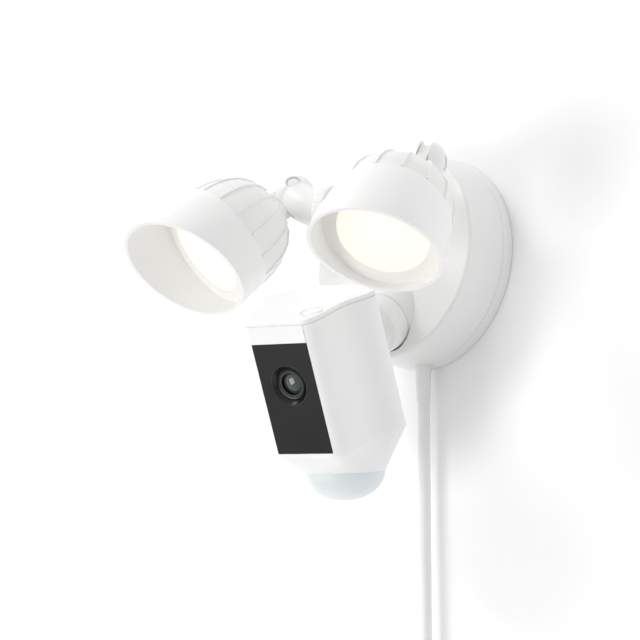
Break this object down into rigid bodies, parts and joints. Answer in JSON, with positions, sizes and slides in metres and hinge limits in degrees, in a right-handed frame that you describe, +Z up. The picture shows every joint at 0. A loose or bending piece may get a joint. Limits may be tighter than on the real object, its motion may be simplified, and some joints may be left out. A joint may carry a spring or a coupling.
{
  "type": "floodlight security camera",
  "caption": "Wall-mounted security camera on a ball joint under a round base, with swivelling LED flood lamps on jointed arms, a motion-sensor dome and a hanging power cord.",
  "frame": {"origin": "centre of the round base's back face, on the wall", "axes": "+Z up, the front faces -Y, +X to the right seen from the front; the wall is the plane Y = 0"},
  "size_m": [0.2399, 0.1628, 0.4158],
  "materials": {
    "white_plastic": "satin",
    "nylon": "matte",
    "dark_plastic": "satin",
    "steel": "brushed",
    "board_green": "satin",
    "housing_plastic": "satin",
    "cord_vinyl": "satin",
    "lens_glass": "polished",
    "diffuser": "frosted",
    "sink_metal": "satin",
    "rubber_grey": "matte",
    "board_aluminium": "satin",
    "led": "matte",
    "black_plastic": "polished",
    "dome_plastic": "frosted",
    "brass": "polished",
    "foam": "matte"
  },
  "bodies": {
    "base": {"wall_gasket": "foam", "back_plate": "white_plastic", "mounting_bracket": "steel", "bracket_screws": "steel", "base_shell": "white_plastic", "cover_screws": "steel", "neck_collar": "white_plastic", "arm_hub": "white_plastic", "power_board": "board_green", "transformer": "dark_plastic", "capacitors": "dark_plastic", "terminal_block": "dark_plastic", "strain_relief": "cord_vinyl", "cord_tube": "cord_vinyl", "cord_coil": "cord_vinyl", "coil_tie": "dark_plastic", "plug_body": "cord_vinyl", "plug_blades": "brass", "left_arm_socket": "nylon", "left_arm_lock_ring": "white_plastic", "right_arm_socket": "nylon", "right_arm_lock_ring": "white_plastic"},
    "left_arm": {"left_arm": "white_plastic", "left_pivot_screw": "steel"},
    "left_lamp": {"left_lamp_shell": "white_plastic", "left_bezel_ring": "white_plastic", "left_diffuser": "diffuser", "left_led_board": "board_aluminium", "left_led_chips": "led", "left_lamp_seal": "rubber_grey", "left_heat_sink": "sink_metal"},
    "right_arm": {"right_arm": "white_plastic", "right_pivot_screw": "steel"},
    "right_lamp": {"right_lamp_shell": "white_plastic", "right_bezel_ring": "white_plastic", "right_diffuser": "diffuser", "right_led_board": "board_aluminium", "right_led_chips": "led", "right_lamp_seal": "rubber_grey", "right_heat_sink": "sink_metal"},
    "neck": {"camera_neck": "white_plastic"},
    "seat": {"ball_seat": "nylon"},
    "camera": {"camera_housing": "housing_plastic", "top_cap": "housing_plastic", "front_plate": "housing_plastic", "window_panel": "black_plastic", "lens_ring": "black_plastic", "lens_barrel": "dark_plastic", "lens_glass": "lens_glass", "camera_board": "board_green", "board_chips": "dark_plastic", "infrared_leds": "lens_glass", "speaker": "dark_plastic", "pir_dome": "dome_plastic", "motion_sensors": "board_green", "socket_cup": "nylon", "socket_ring": "white_plastic", "button_switch": "dark_plastic"},
    "button": {"setup_button": "housing_plastic"}
  },
  "joints": [
    {"name": "left_arm_swivel", "type": "hinge", "parent": "base", "child": "left_arm", "pos_m": [-0.015, -0.046, 0.025], "axis": [-0.91, -0.345, 0.23], "range_deg": [-20, 20]},
    {"name": "left_lamp_tilt", "type": "hinge", "parent": "left_arm", "child": "left_lamp", "pos_m": [-0.05908, -0.05432, 0.04482], "axis": [0.5636, -0.6955, 0.4457], "range_deg": [-15, 15]},
    {"name": "right_arm_swivel", "type": "hinge", "parent": "base", "child": "right_arm", "pos_m": [0.015, -0.046, 0.025], "axis": [0.91, -0.345, 0.23], "range_deg": [-20, 20]},
    {"name": "right_lamp_tilt", "type": "hinge", "parent": "right_arm", "child": "right_lamp", "pos_m": [0.06424, -0.07228, 0.03155], "axis": [0.8283, 0.5276, -0.1887], "range_deg": [-15, 3]},
    {"name": "neck_swivel", "type": "hinge", "parent": "base", "child": "neck", "pos_m": [0, -0.04, -0.0406], "axis": [0, -0.8387, -0.5446], "range_deg": [-30, 30]},
    {"name": "camera_tilt", "type": "hinge", "parent": "neck", "child": "seat", "pos_m": [0, -0.06516, -0.05694], "axis": [0.9746, 0.1946, -0.1107], "range_deg": [-15, 15]},
    {"name": "camera_pan", "type": "hinge", "parent": "seat", "child": "camera", "pos_m": [0, -0.06516, -0.05694], "axis": [0.1962, -0.5045, 0.8408], "range_deg": [-15, 15]},
    {"name": "setup_press", "type": "slide", "parent": "camera", "child": "button", "axis": [-0.1962, 0.5045, -0.8408], "range_m": [0, 0.001], "stiffness_N_per_m": 600, "springref_m": -0.0008}
  ]
}
